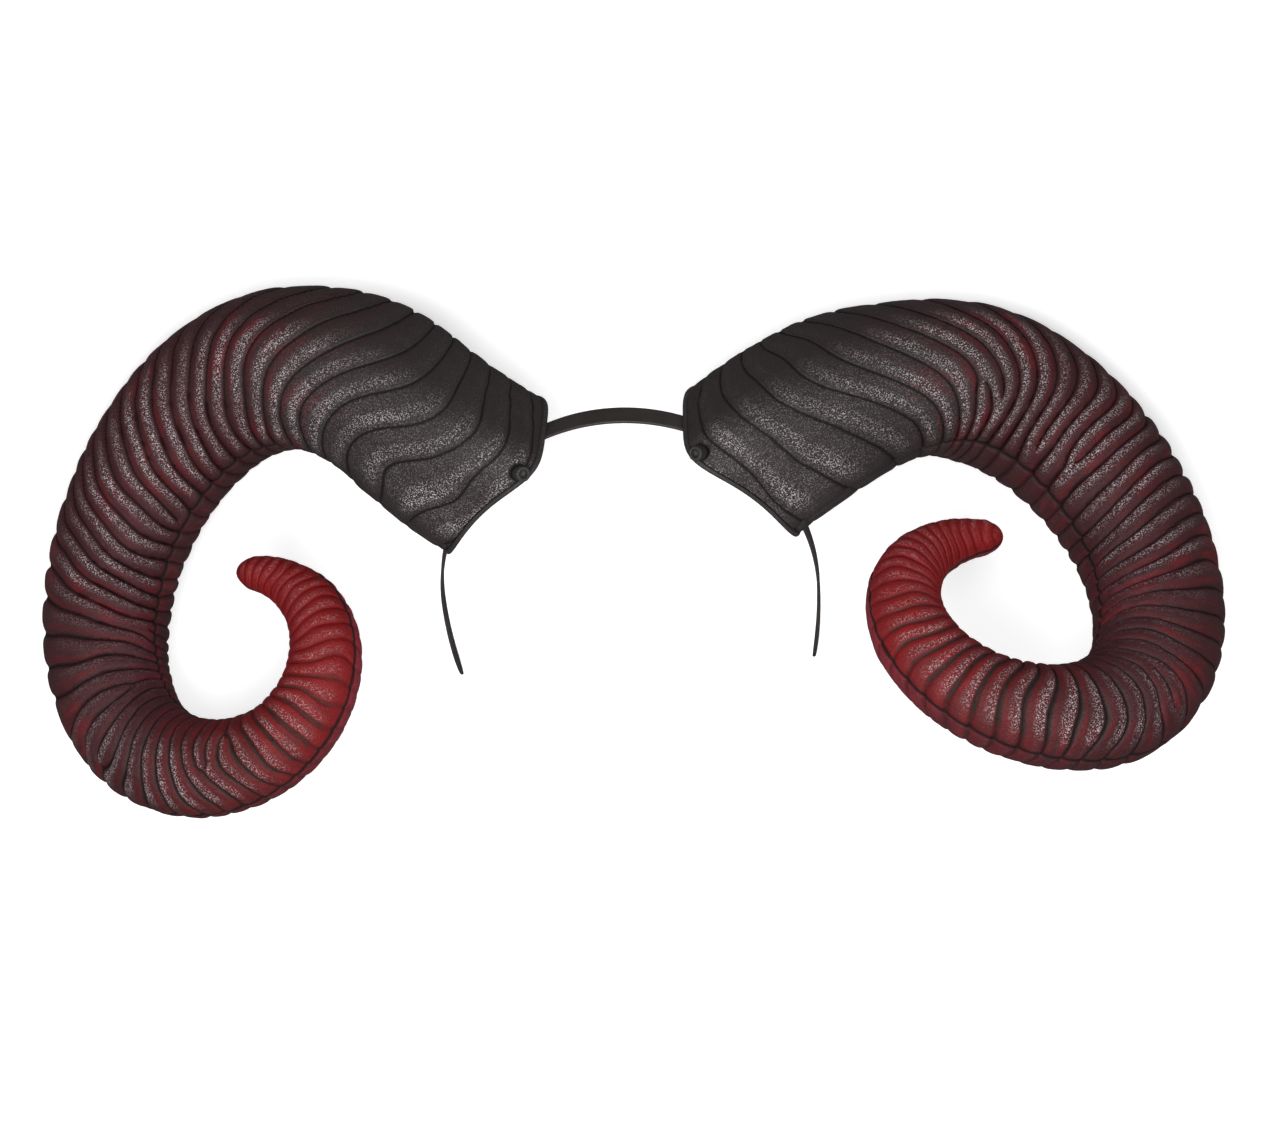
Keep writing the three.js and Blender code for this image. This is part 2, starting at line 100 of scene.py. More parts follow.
# Middle line and section of a horn, from foot to tip. along: share of the length. turn: heading in the
# plane of the curl. climb: heading out of that plane. width and depth: shares of the thickest section.
HORN_SECTIONS = [
    {"along": 0.00, "turn": 0, "climb": 58, "width": 1.03, "depth": 1.03},
    {"along": 0.05, "turn": -9, "climb": 24, "width": 1.03, "depth": 1.03},
    {"along": 0.10, "turn": -9, "climb": 6, "width": 1.03, "depth": 1.03},
    {"along": 0.18, "turn": 20, "climb": 8, "width": 1.00, "depth": 1.00},
    {"along": 0.30, "turn": 67, "climb": 0, "width": 0.93, "depth": 0.93},
    {"along": 0.42, "turn": 100, "climb": -1, "width": 0.83, "depth": 0.83},
    {"along": 0.54, "turn": 133, "climb": -1, "width": 0.74, "depth": 0.74},
    {"along": 0.66, "turn": 183, "climb": 2, "width": 0.62, "depth": 0.62},
    {"along": 0.78, "turn": 239, "climb": -2, "width": 0.51, "depth": 0.51},
    {"along": 0.90, "turn": 323, "climb": 3, "width": 0.39, "depth": 0.40},
    {"along": 1.00, "turn": 396, "climb": 22, "width": 0.17, "depth": 0.18},
]

# The two horns. seat: slope of the band at the foot. toe: the foot turned on its seat. spin, lean and swing:
# the curl turned about the foot's upright, about the band and about the front-to-back line. stud_up and
# stud_front: the middle of the stud's outer end, as the way from the foot's middle up the band and to the
# front. seed: for the unevenness.
HORNS = [
    {"side": "left", "mirror": 1, "seat": 48.5, "toe": -4, "spin": 54, "lean": 44, "swing": 44,
     "stud_up": 24.9, "stud_front": 25.9, "seed": 3},
    {"side": "right", "mirror": -1, "seat": 48.5, "toe": 0, "spin": 81, "lean": 33, "swing": 62,
     "stud_up": 28.2, "stud_front": 21.6, "seed": 8},
]

# How the headband lies: turned about Z, then about Y, then about X, and moved. The three turns are given in
# the order X, Y, Z.
LYING_TURN = (-51.54, 0.02, 0.07)
LYING_PLACE = (1.68, -24.87, 24.03)

# Ribs. Their number, how much narrower they get towards the tip, how far their crests lean, the share of
# their height at which the smooth skin lies, a usual width, and their form along a horn. along: share of the
# length. height: from groove to crest. flatness: how flat a rib's top is. sweep: how many ribs the outside
# of the curl lags behind its front.
RIB_COUNT = 58
RIB_NARROWING = 0.5
RIB_SKEW = 0.85
SKIN_LEVEL = 0.7
USUAL_RIB_WIDTH = 7
RIBS = [
    {"along": 0.00, "height": 0.8, "flatness": 7.0, "sweep": 0.0},
    {"along": 0.12, "height": 1.2, "flatness": 6.0, "sweep": 1.3},
    {"along": 0.26, "height": 1.7, "flatness": 3.6, "sweep": 1.7},
    {"along": 0.50, "height": 2.0, "flatness": 3.0, "sweep": 1.2},
    {"along": 0.70, "height": 1.4, "flatness": 3.4, "sweep": -0.2},
    {"along": 0.86, "height": 0.6, "flatness": 4.0, "sweep": -0.5},
    {"along": 1.00, "height": 0.1, "flatness": 4.0, "sweep": 0.0},
]
BACK_RIB_SHARE = 0.65

# Wavering of the grooves. rounds: how often a wave closes round the horn. size: how many ribs it shifts the
# grooves. Each wave has a random number of beats along the horn for each round.
WAVERINGS = [
    {"rounds": 1, "size": 0.38},
    {"rounds": 1, "size": 0.26},
    {"rounds": 2, "size": 0.22},
    {"rounds": 2, "size": 0.16},
    {"rounds": 3, "size": 0.11},
    {"rounds": 4, "size": 0.07},
    {"rounds": 5, "size": 0.04},
]
WAVERING_BEATS = (1.5, 3.5)

# Forks of the ribs: the number of pairs, where along the horn they may lie as shares of the ribs, how far
# round the horn a pair is apart, and the horn's mean radius there as a share of its greatest width.
FORK_PAIRS = 8
FORK_PLACES = (0.06, 0.66)
FORK_SPREAD = (1.5, 2.7)
FORK_RADIUS = 0.4

# Dip of the skin along the seams, and its spread. Unevenness of the ribs' height: a usual share and a
# random one. Small lumps. For both: the number of waves, their usual length, and what the seed adds.
SEAM_DIP = 0.7
SEAM_SPREAD = 1.1
RIB_STRENGTH = 0.92
RIB_UNEVENNESS = {"size": 0.18, "count": 12, "wavelength": 38, "seed": 20}
LUMPS = {"size": 0.16, "count": 30, "wavelength": 7, "seed": 40}

# The ribs fade out over these lengths at the tip and at the foot.
TIP_FADE = 6
FOOT_FADE = 1.5

# Share of silver specks, partly wear of the paint and partly painted highlight glints, from 0 to 1: at least
# the first value, and on the back halves the second one.
LEAST_WEAR_AND_GLINT = 0.06
BACK_WEAR_AND_GLINT = 0.05

# Colours as they show on a screen, from 0 to 255
CHARCOAL = (45, 39, 39)
MAROON = (60, 28, 31)
BRUSHED_RED = (98, 20, 27)
# Silver specks: partly rubbed paint, partly painted highlight glints
RUBBED_SILVER_AND_GLINT = (196, 188, 190)
DARK_STROKE = (46, 40, 36)
# Nearly black painted shade in the creases between the ribs and along the seams
CREASE_SHADE_BLACK = (16, 11, 11)
FRONT_RED = (120, 18, 20)
FRONT_DEEP_RED = (84, 22, 25)
BACK_RED = (122, 32, 42)
BACK_DEEP_RED = (84, 27, 33)
FOAM_DARK = (32, 28, 28)
FOAM_LIGHT = (44, 40, 39)
FOAM_PORE = (76, 71, 70)
BAND_DARK = (44, 40, 38)
BAND_LIGHT = (53, 49, 47)

# Fineness of the meshes
ROWS_ALONG_HORN = 600
COLUMNS_ON_SKIN = 80
COLUMNS_ON_LINING = 12
COLUMN_CROWDING = 0.6
ROWS_ALONG_BAND = 360
PLATE_COLUMNS = 144
STUD_COLUMNS = 40

# Lower part of the arch: the height of its taller ellipse, and the angle at which the band ends
LEG_RISE = BAND_LEG_DROP / math.sqrt(1 - (1 - BAND_END_TUCK / BAND_HALF_SPREAD) ** 2)
BAND_END_ANGLE = math.pi / 2 + math.asin(BAND_LEG_DROP / LEG_RISE)

# Camera of the photograph, in the frame of the wearer: how far it looks down on the front of the arch, how
# far the headband is rolled in the picture, the point at its middle, its distance, and the width it sees.
VIEW_TILT = 41.8
VIEW_ROLL = 4
VIEW_TARGET = (5.9, -24.7, 35.2)
VIEW_DISTANCE = 1300
VIEW_WIDTH = 455.7
SENSOR_WIDTH = 36


def read_column(rows, column, along):
    """Value of one column of a table on the smooth cubic through its rows, whose slope at a row is that of
    the line between the rows before and after it."""
    places = np.array([row["along"] for row in rows])
    values = np.array([row[column] for row in rows], float)
    before = np.maximum(np.arange(len(rows)) - 1, 0)
    after = np.minimum(np.arange(len(rows)) + 1, len(rows) - 1)
    slopes = (values[after] - values[before]) / (places[after] - places[before])
    row = np.clip(np.searchsorted(places, along) - 1, 0, len(rows) - 2)
    step = places[row + 1] - places[row]
    t = (along - places[row]) / step
    return ((1 + 2 * t) * (1 - t) ** 2 * values[row] + t * (1 - t) ** 2 * step * slopes[row]
            + t * t * (3 - 2 * t) * values[row + 1] + t * t * (t - 1) * step * slopes[row + 1])


def smooth_step(low, high, value):
    """0 below low, 1 above high, and 3 t squared minus 2 t cubed between them."""
    t = np.clip((value - low) / (high - low), 0, 1)
    return t * t * (3 - 2 * t)


def turning(x, y, z):
    """The three matrices that turn about X, about Y and about Z, by angles in degrees."""
    x, y, z = np.radians((x, y, z))
    about_x = np.array([[1, 0, 0], [0, np.cos(x), -np.sin(x)], [0, np.sin(x), np.cos(x)]])
    about_y = np.array([[np.cos(y), 0, np.sin(y)], [0, 1, 0], [-np.sin(y), 0, np.cos(y)]])
    about_z = np.array([[np.cos(z), -np.sin(z), 0], [np.sin(z), np.cos(z), 0], [0, 0, 1]])
    return about_x, about_y, about_z


def lying_turn():
    """Matrix that turns the headband from how it is worn to how it lies."""
    about_x, about_y, about_z = turning(*LYING_TURN)
    return about_x @ about_y @ about_z


def lay_down(points):
    """Takes points from the frame of the wearer to where the headband lies, in metres."""
    return (points @ lying_turn().T + np.array(LYING_PLACE)) * MM


def arch_at(angle, lift=0.0):
    """Point, outward and downward direction of the arch on its left side: an ellipse, and a taller one below
    its widest level. The angle is 0 at the crest, and lift is the height above the middle of the strip."""
    angle = np.asarray(angle, float)
    rise = np.where(np.cos(angle) < 0, LEG_RISE, BAND_RISE)
    none = np.zeros_like(angle)
    out = np.stack([-np.sin(angle) / BAND_HALF_SPREAD, none, np.cos(angle) / rise], -1)
    out /= np.linalg.norm(out, axis=-1, keepdims=True)
    point = np.stack([-BAND_HALF_SPREAD * np.sin(angle), none, rise * np.cos(angle)], -1)
    down = np.stack([-out[..., 2], none, out[..., 0]], -1)
    return point + out * np.asarray(lift, float)[..., None], out, down


def arch_angle_after(angle, length):
    """Angle of the arch that lies a length of strip below another one, in small steps."""
    steps = 40
    reached = np.array(angle, float) + np.zeros_like(np.asarray(length, float))
    for _ in range(steps):
        rise = np.where(np.cos(reached) < 0, LEG_RISE, BAND_RISE)
        pace = np.hypot(BAND_HALF_SPREAD * np.cos(reached), rise * np.sin(reached))
        reached = reached + length / steps / pace
    return reached


def seat_of(horn):
    """Frame of a foot on the band: its angle, point, and directions out, down the band and to the front."""
    angle = math.atan(math.tan(math.radians(horn["seat"])) * BAND_HALF_SPREAD / BAND_RISE)
    point, out, down = arch_at(angle)
    return {"angle": angle, "point": point, "out": out, "down": down, "front": np.array([0, -1, 0])}


def from_seat(seat, height, along_band, to_front):
    """Point given by its height, its way down the band and its way to the front, from the seat."""
    return (seat["point"] + np.asarray(height)[..., None] * seat["out"]
            + np.asarray(along_band)[..., None] * seat["down"]
            + np.asarray(to_front)[..., None] * seat["front"])


def on_sheet(seat, lift, along_band, to_front):
    """Point of a sheet that follows the arch with a lift, at a straight way along the band from the seat.
    Its angle is found by going on from the last guess by what is still missing."""
    guesses = 12
    angle = np.full(np.shape(along_band), seat["angle"])
    for _ in range(guesses):
        reached = (arch_at(angle, lift)[0] - seat["point"]) @ seat["down"]
        angle = arch_angle_after(angle, along_band - reached)
    return arch_at(angle, lift)[0] + np.asarray(to_front)[..., None] * seat["front"]


def foot_radius(direction, inset):
    """Distance from the middle of a foot to its outline, a rectangle with round corners. It is a sum to the
    power of minus one over the squareness. The sum is that of the cosine and the sine of the direction, each
    over its half side, to the power of the squareness."""
    across = np.abs(np.cos(direction) / (FOOT_ALONG_BAND / 2 - inset)) ** FOOT_SQUARENESS
    deep = np.abs(np.sin(direction) / (FOOT_DEPTH / 2 - inset)) ** FOOT_SQUARENESS
    return (across + deep) ** (-1 / FOOT_SQUARENESS)


def foot_outline(horn, around, inset):
    """Way down the band and way to the front of a point on a foot's outline. around: 0 at the back corner
    nearest the crest, a quarter turn later at the front corner."""
    direction = BACK_CORNER - around
    radius = foot_radius(direction, inset)
    turned = direction + math.radians(horn["toe"])
    return radius * np.cos(turned), radius * np.sin(turned)


def horn_path(horn, along):
    """Middle line of a horn: its headings from the table, added up step by step. With each point come the
    way out of the curl and the way to the curl's front."""
    about_x, about_y, about_z = turning(horn["spin"], horn["lean"], horn["swing"])
    turned = about_z @ about_y @ about_x

    def heading_at(places):
        turn = np.radians(read_column(HORN_SECTIONS, "turn", places))
        climb = np.radians(read_column(HORN_SECTIONS, "climb", places))
        flat = np.stack([np.cos(climb) * np.cos(turn), np.cos(climb) * np.sin(turn), np.sin(climb)], -1)
        return flat @ turned.T

    steps = 1600
    middles = (np.arange(steps) + 0.5) / steps
    places = np.arange(steps + 1) / steps
    points = np.zeros((steps + 1, 3))
    points[1:] = np.cumsum(heading_at(middles) * HORN_LENGTH / steps, axis=0)
    points[:, 0] += PLATE_TOP + RIM_GAP
    heading = heading_at(along)
    axis = turned @ np.array([0, 0, 1])
    front = axis - heading * (heading @ axis)[..., None]
    front /= np.linalg.norm(front, axis=-1, keepdims=True)
    middle = np.stack([np.interp(along, places, points[:, k]) for k in range(3)], -1)
    return middle, np.cross(heading, front), front


def skin_points(horn, along, around, lift, apart):
    """Points of a horn at a lift above its smooth skin: an ellipse across the middle line, which near the
    foot passes over into the foot's outline on the bent plate. apart is half the play between the halves."""
    seat = seat_of(horn)
    middle, outside, front = horn_path(horn, along)
    to_tip = np.clip((1 - along) * HORN_LENGTH / TIP_ROUNDING, 0, 1)
    tip = np.sqrt(np.maximum(1 - (1 - to_tip) ** 2, TIP_BLUNTNESS))[:, None]
    half_width = read_column(HORN_SECTIONS, "width", along)[:, None] * HORN_WIDTH / 2 * tip
    half_depth = read_column(HORN_SECTIONS, "depth", along)[:, None] * HORN_DEPTH / 2 * tip
    grown = np.maximum(lift, -WALL_SHARE * np.minimum(half_width, half_depth))
    curl = (middle[:, None] + outside[:, None] * ((half_width + grown) * np.cos(around))[..., None]
            + front[:, None] * ((half_depth + grown) * np.sin(around) + apart)[..., None])
    rim = PLATE_TOP + RIM_GAP
    along_band, to_front = foot_outline(horn, around, -lift)
    ways = np.linspace(-FOOT_ALONG_BAND, FOOT_ALONG_BAND, 121)
    bent = on_sheet(seat, np.full_like(ways, rim), ways, 0 * ways)
    heights = (bent - seat["point"]) @ seat["out"] - rim
    corner = FRONT_CORNER + math.radians(horn["toe"])
    flat = np.stack([
        np.interp(along_band, ways, heights),
        along_band + apart * math.cos(corner),
        to_front + apart * math.sin(corner),
    ], -1)
    foot = middle[:, None] + flat
    share = smooth_step(0, FOOT_BLEND, along * HORN_LENGTH)[:, None, None]
    skin = foot + (curl - foot) * share
    return from_seat(seat, skin[..., 0], skin[..., 1], skin[..., 2])


def soft_waves(places, size, count, wavelength, seed):
    """Gentle unevenness between about plus and minus a size: a sum of sine waves in seeded random
    directions. Its peaks are about 1.6 times as high as it usually is."""
    peak = 1.6
    chance = np.random.default_rng(seed)
    directions = chance.normal(size=(count, places.shape[-1]))
    directions /= np.linalg.norm(directions, axis=1, keepdims=True)
    lengths = wavelength * chance.uniform(0.7, 1.5, count)
    phases = chance.uniform(0, 2 * math.pi, count)
    total = np.zeros(places.shape[:-1])
    for direction, length, phase in zip(directions, lengths, phases):
        total += np.sin(places @ (direction * 2 * math.pi / length) + phase)
    return size * (total * math.sqrt(2 / count) / peak)


def along_at(share):
    """Share of a horn's length at a share of its ribs, which get narrower towards the tip."""
    return share * (1 + RIB_NARROWING * (1 - share))


def rib_phase(horn, share, around):
    """Number of the rib at each place, as a count that rises by one from groove to groove, and apart from it
    what forks add. The count grows evenly with the share of the ribs, lags by a cosine on the outside of the
    curl, and wavers with a few waves that close round the horn. A pair of forks adds a rib that runs only
    part of the way round. A fork is the angle of the sine of half the distance from it, taken as a complex
    number round and along the horn."""
    chance = np.random.default_rng(horn["seed"])
    wander = np.zeros(np.broadcast(share, around).shape)
    for wavering in WAVERINGS:
        beats = chance.uniform(*WAVERING_BEATS) * wavering["rounds"]
        start = chance.uniform(0, 2 * math.pi, 2)
        round_horn = np.sin(wavering["rounds"] * around + start[0])
        wander += wavering["size"] * round_horn * np.sin(2 * math.pi * beats * share + start[1])
    forks = np.zeros_like(wander)
    slimness = HORN_LENGTH / (HORN_WIDTH * FORK_RADIUS)
    for _ in range(FORK_PAIRS):
        place, first = chance.uniform(*FORK_PLACES), chance.uniform(0, 2 * math.pi)
        second = first + chance.uniform(*FORK_SPREAD)
        sign = 1 if chance.uniform() < 0.5 else -1
        way = 1j * (share - place) * slimness
        ends = [np.angle(np.sin((around - fork + way) / 2)) for fork in (first, second)]
        forks += sign * (ends[0] - ends[1]) / (2 * math.pi)
    sweep = read_column(RIBS, "sweep", along_at(share)) * np.cos(around)
    return RIB_COUNT * share + sweep + wander, forks


def rib_relief(along, phase):
    """Height of the ribs over the smooth skin: one minus a power of the distance from the crest, which leans
    a little towards the foot."""
    within = np.mod(phase, 1) ** RIB_SKEW
    flatness = read_column(RIBS, "flatness", along)
    rise = 1 - np.abs(2 * within - 1) ** flatness
    return read_column(RIBS, "height", along) * (rise - SKIN_LEVEL)


def make_solid(name, points, wrap_rows=False, attributes=None):
    """Closed mesh on a grid of points. The columns close on themselves. The rows do too, or else the first
    and last row are each filled with one face. The faces are turned to point outwards."""
    rows, columns = points.shape[:2]
    index = np.arange(rows * columns).reshape(rows, columns)
    below = index if wrap_rows else index[:-1]
    above = np.roll(index, -1, 0) if wrap_rows else index[1:]
    quads = np.stack([below, np.roll(below, -1, 1), np.roll(above, -1, 1), above], -1).reshape(-1, 4)
    flat = points.reshape(-1, 3)
    a, b, c, d = (flat[quads[:, corner]] for corner in range(4))
    volume = (np.einsum("ij,ij->i", a, np.cross(b, c)) + np.einsum("ij,ij->i", a, np.cross(c, d))).sum()
    faces = quads.tolist()
    if not wrap_rows:
        faces += [index[0][::-1].tolist(), index[-1].tolist()]
    if volume < 0:
        faces = [face[::-1] for face in faces]
    mesh = bpy.data.meshes.new(name)
    mesh.from_pydata(flat.tolist(), [], faces)
    mesh.polygons.foreach_set("use_smooth", np.ones(len(faces), bool))
    for title, values in (attributes or {}).items():
        kind = "FLOAT_VECTOR" if values.ndim == 3 else "FLOAT"
        layer = mesh.attributes.new(title, kind, "POINT")
        layer.data.foreach_set("vector" if values.ndim == 3 else "value", values.astype(np.float32).ravel())
    mesh.update()
    piece = bpy.data.objects.new(name, mesh)
    bpy.context.collection.objects.link(piece)
    return piece


def make_piece(name, points, material, wrap_rows=False, attributes=None):
    piece = make_solid(name, points, wrap_rows, attributes)
    piece.data.materials.append(material)
    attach(piece, "root")
    return piece


def cut(piece, cutter, sharp_over):
    """Cuts one solid out of another, removes it, and keeps the edges crisp that bend over an angle."""
    cutting = piece.modifiers.new("cutting", "BOOLEAN")
    cutting.object = cutter
    cutting.operation = "DIFFERENCE"
    cutting.solver = "EXACT"
    graph = bpy.context.evaluated_depsgraph_get()
    whole = piece.data
    piece.data = bpy.data.meshes.new_from_object(piece.evaluated_get(graph))
    piece.modifiers.clear()
    piece.data.set_sharp_from_angle(angle=math.radians(sharp_over))
    bpy.data.meshes.remove(whole)
    bpy.data.meshes.remove(cutter.data)


def rounded_bar(half_width, low, high, edge, corner_steps=5):
    """Outline of a flat bar with rounded edges, as ways to the front and heights, shaped rows by points."""
    half_width = np.atleast_1d(half_width)[:, None]
    turns = np.linspace(0, math.pi / 2, corner_steps)
    corners = [(1, high, 0), (-1, high, 1), (-1, low, 2), (1, low, 3)]
    ways, heights = [], []
    for side, level, quarter in corners:
        angle = turns + quarter * math.pi / 2
        inward = -1 if level == high else 1
        ways.append(side * (half_width - edge) + edge * np.cos(angle))
        heights.append(np.broadcast_to(level + inward * edge + edge * np.sin(angle), ways[-1].shape))
    return np.concatenate(ways, 1), np.concatenate(heights, 1)


def along_arch(angles, ways, heights):
    """Carries an outline along the arch: each row stands across the band at its own angle."""
    angles = np.broadcast_to(np.asarray(angles)[:, None], ways.shape)
    points = arch_at(angles, heights)[0]
    points[..., 1] = -ways
    return points


def make_band():
    """Band: a thin bar with rounded edges along the whole arch, which narrows to its rounded ends."""
    share = np.linspace(-1, 1, ROWS_ALONG_BAND + 1)
    half = (BAND_WIDTH + (BAND_END_WIDTH - BAND_WIDTH) * share ** 2) / 2
    to_end = (1 - np.abs(share)) * (BAND_RISE + BAND_LEG_DROP)
    round_off = np.clip(1 - to_end / BAND_END_ROUNDING, 0, 1)
    half = half * np.sqrt(1 - BAND_END_TAPER * round_off ** 2)
    face = BAND_THICKNESS / 2
    ways, heights = rounded_bar(half, -face, face, BAND_EDGE)
    points = lay_down(along_arch(share * BAND_END_ANGLE, ways, heights))
    piece = make_piece("hair_band", points, band_finish())
    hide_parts("headband")


def mirrored(horn, points):
    return points * np.array([horn["mirror"], 1, 1])


def stud_frame(horn):
    """Frame of the stud: the point of the plate's top under its outer end, the way out of the plate, the way
    along the stud to its outer end, and the way across both. The way out goes through the point that lies
    1 mm higher."""
    seat = seat_of(horn)
    way, to_front = np.array([-horn["stud_up"]]), np.array([horn["stud_front"]])
    levels = (PLATE_TOP, PLATE_TOP + 1)
    end, above = (on_sheet(seat, np.array([lift]), way, to_front)[0] for lift in levels)
    out = above - end
    out[1] = 0
    out /= np.linalg.norm(out)
    down = np.array([-out[2], 0, out[0]])
    direction = FRONT_CORNER + math.radians(horn["toe"])
    axis = down * math.cos(direction) + seat["front"] * math.sin(direction)
    return end, out, axis, np.cross(out, axis)


def notch_solid(horn):
    """Solid of the notch that the stud lies in: a slot with a round top, open below and to the outside."""
    end, out, axis, across = stud_frame(horn)
    half = STUD_RADIUS + FIT_GAP
    turn = np.linspace(0, math.pi, 25)
    ways = np.concatenate([[half], half * np.cos(turn), [-half]])
    heights = np.concatenate([[-PLATE_THICKNESS], NOTCH_RISE + half * np.sin(turn), [-PLATE_THICKNESS]])
    starts = np.array([-STUD_LENGTH - FIT_GAP, STUD_LENGTH])
    points = end + axis * starts[:, None, None] + (across * ways[:, None] + out * heights[:, None])[None]
    return make_solid("notch", lay_down(mirrored(horn, points)))


def wear_and_glint_of(along, around):
    """How much the paint of a front half is rubbed to silver specks, which also stand for painted highlight
    glints
    where the light falls: most on the inner side of the curl, and from the lower curl on most on its outer
    side.
    around is a half turn from the outside of the curl to its inside."""
    turned = around / math.pi
    inner_side = smooth_step(0.34, 0.52, turned) * smooth_step(0.98, 0.88, turned)
    outer_side = smooth_step(0.08, 0.22, turned) * smooth_step(0.68, 0.45, turned)
    lower = smooth_step(0.56, 0.66, along)[:, None]
    return LEAST_WEAR_AND_GLINT + (1 - LEAST_WEAR_AND_GLINT) * (inner_side + (outer_side - inner_side) * lower)


def make_horn_half(horn, half, material):
    """One half shell: a C shaped outline, skin and lining, carried along the horn. The columns crowd
    together at the seams, and the ribs stand on the skin. The paint reads four attributes. wave: the cosine
    and sine of the place within a rib, and the share of silver specks, partly wear and partly painted
    highlight.
    along: share of the length. seam: about the millimetres to the nearest seam. skin: the place on the skin
    laid flat, about in millimetres."""
    front = half == "front"
    start = 0 if front else math.pi
    apart = SEAM_GAP / 2 if front else -SEAM_GAP / 2
    share = np.linspace(0, 1, ROWS_ALONG_HORN + 1)
    along = along_at(share)
    across = np.linspace(0, 1, COLUMNS_ON_SKIN + 1)
    crowded = across - COLUMN_CROWDING * np.sin(2 * math.pi * across) / (2 * math.pi)
    around = start + math.pi * crowded
    lining = start + math.pi * np.linspace(1, 0, COLUMNS_ON_LINING + 1)

    phase, forks = rib_phase(horn, share[:, None], around[None])
    relief = rib_relief(along[:, None], phase + forks)
    half_width = read_column(HORN_SECTIONS, "width", along)[:, None] * HORN_WIDTH / 2
    round_way = around[None] * half_width
    skin_place = np.stack([phase * USUAL_RIB_WIDTH, round_way, np.zeros_like(phase)], -1)
    unevenness, lumps = (
        soft_waves(skin_place, kind["size"], kind["count"], kind["wavelength"], horn["seed"] + kind["seed"])
        for kind in (RIB_UNEVENNESS, LUMPS))
    to_seam = np.minimum(around - start, start + math.pi - around)[None] * half_width
    dip = SEAM_DIP * np.exp(-(to_seam / SEAM_SPREAD) ** 2)
    fade_at_tip = smooth_step(0, TIP_FADE, (1 - along) * HORN_LENGTH)
    fade_at_foot = smooth_step(0, FOOT_FADE, along * HORN_LENGTH)
    fade = (fade_at_tip * fade_at_foot)[:, None]
    rib_share = 1 if front else BACK_RIB_SHARE
    ribs = relief * (RIB_STRENGTH + unevenness) * rib_share
    lift = (ribs + lumps) * fade - dip * half_width / (HORN_WIDTH / 2)

    skin = skin_points(horn, along, around[None], lift, apart)
    inner = skin_points(horn, along, lining[None], np.full((1, len(lining)), -float(SHELL_WALL)), apart)
    points = lay_down(mirrored(horn, np.concatenate([skin, inner], 1)))
    turn = 2 * math.pi * (phase + forks)
    wear_and_glint = wear_and_glint_of(along, around) if front else np.full(turn.shape, BACK_WEAR_AND_GLINT)
    wave = np.stack([np.cos(turn), np.sin(turn), wear_and_glint], -1)
    values = {
        "wave": np.concatenate([wave, np.zeros(inner.shape)], 1),
        "along": np.repeat(along[:, None], points.shape[1], 1),
        "seam": np.concatenate([np.broadcast_to(to_seam, turn.shape), np.zeros(inner.shape[:2])], 1),
        "skin": np.concatenate([skin_place, np.zeros(inner.shape)], 1),
    }
    piece = make_piece(f"{half}_shell_{horn['side']}", points, material, attributes=values)
    if front:
        cut(piece, notch_solid(horn), 60)
    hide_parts(f"horn_{half}_{horn['side']}")


def make_plate(horn, material):
    """Plate: rings of a foot's outline, from the middle of its underside over a rounded edge to the middle
    of its top, bent to the arch."""
    seat = seat_of(horn)
    direction = np.linspace(0, 2 * math.pi, PLATE_COLUMNS, endpoint=False)
    radius = foot_radius(direction, -PLATE_LIP)
    low, high = BAND_THICKNESS / 2 + FIT_GAP, PLATE_TOP
    bend = np.linspace(-math.pi / 2, math.pi / 2, 9)
    middle, half = (low + high) / 2, (high - low) / 2
    insets = PLATE_EDGE * (1 - np.cos(bend))
    levels = middle + half * np.sin(bend)
    flat = np.linspace(0.02, 1, 12, endpoint=False)
    rings = [(radius - insets[0]) * share for share in flat]
    heights = [levels[0]] * len(flat)
    rings += [radius - inset for inset in insets]
    heights += list(levels)
    rings += [(radius - insets[-1]) * share for share in flat[::-1]]
    heights += [levels[-1]] * len(flat)
    rings = np.array(rings)
    turned = direction[None] + math.radians(horn["toe"])
    lift = np.broadcast_to(np.array(heights)[:, None], rings.shape)
    points = on_sheet(seat, lift, rings * np.cos(turned), rings * np.sin(turned))
    piece = make_piece(f"foot_plate_{horn['side']}", lay_down(mirrored(horn, points)), material)
    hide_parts(f"base_plate_{horn['side']}")


def make_sleeve(horn, material):
    """Sleeve: a flat tube round the band, out along its outside and back along its inside. Its outer face
    lies within the plate."""
    seat = seat_of(horn)
    reach = np.array([-SLEEVE_LENGTH / 2, SLEEVE_LENGTH / 2])
    ends = arch_angle_after(np.full(2, seat["angle"]), reach)
    angles = np.linspace(ends[0], ends[1], 40)
    play = BAND_THICKNESS / 2 + FIT_GAP
    hole = np.full(len(angles), BAND_WIDTH / 2 + FIT_GAP)
    inside_plate = PLATE_TOP - PLATE_THICKNESS / 2
    outer = rounded_bar(hole + SLEEVE_WALL, -(play + SLEEVE_WALL), inside_plate, SLEEVE_EDGE)
    inner = rounded_bar(hole, -play, play, SLEEVE_HOLE_EDGE)
    points = np.concatenate([along_arch(angles, *outer), along_arch(angles, *inner)[::-1]])
    points = lay_down(mirrored(horn, points))
    piece = make_piece(f"band_sleeve_{horn['side']}", points, material, wrap_rows=True)
    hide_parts(f"base_plate_{horn['side']}")


